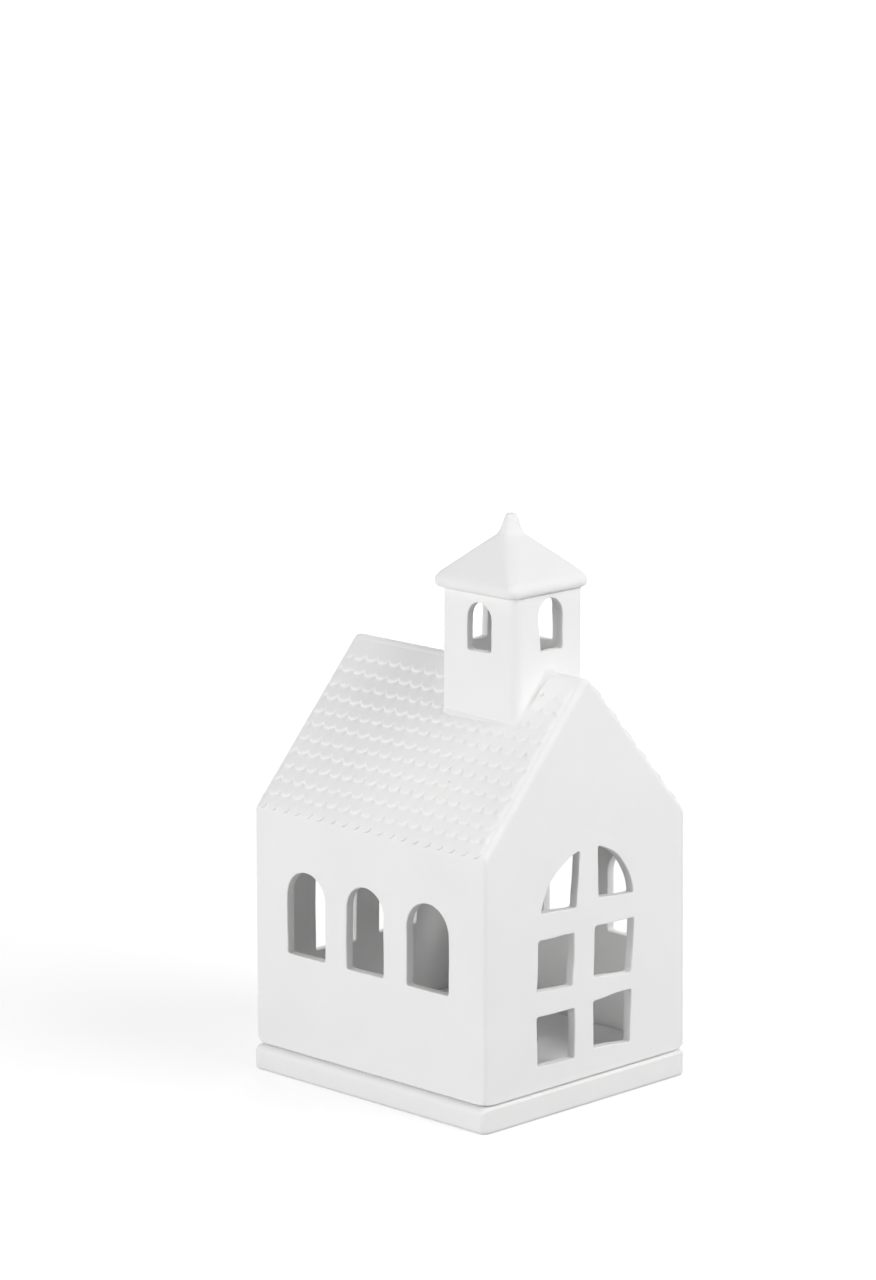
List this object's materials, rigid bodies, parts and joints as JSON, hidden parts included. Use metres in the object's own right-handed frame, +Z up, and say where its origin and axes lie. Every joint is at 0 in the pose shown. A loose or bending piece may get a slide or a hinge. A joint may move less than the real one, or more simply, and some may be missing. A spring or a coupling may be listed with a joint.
{
  "type": "ceramic village house",
  "caption": "White bisque porcelain chapel with a tiled roof, bell tower and arched window openings; it lifts off its base plate to hold a tealight.",
  "frame": {"origin": "middle of the base plate's underside, where the part stands", "axes": "+Z up; the front gable with the large window faces -Y, and the ridge runs along Y"},
  "size_m": [0.0818, 0.092, 0.1631],
  "materials": {
    "porcelain": "matte unglazed bisque porcelain",
    "cup_metal": "thin drawn foil",
    "wax": "white paraffin wax",
    "wick": "braided cotton",
    "clip_metal": "tinned sheet"
  },
  "bodies": {
    "base": {"base_plate": "porcelain"},
    "house": {"house_shell": "porcelain", "bell_tower": "porcelain", "tower_cap": "porcelain"},
    "tealight": {"tealight_cup": "cup_metal", "tealight_wax": "wax", "tealight_wick": "wick", "wick_clip": "clip_metal"}
  },
  "joints": [
    {"name": "house_lift", "type": "slide", "parent": "base", "child": "house", "axis": [0, 0, 1], "range_m": [0, 0.06]},
    {"name": "tealight_lift", "type": "slide", "parent": "base", "child": "tealight", "axis": [0, 0, 1], "range_m": [0, 0.03]}
  ]
}
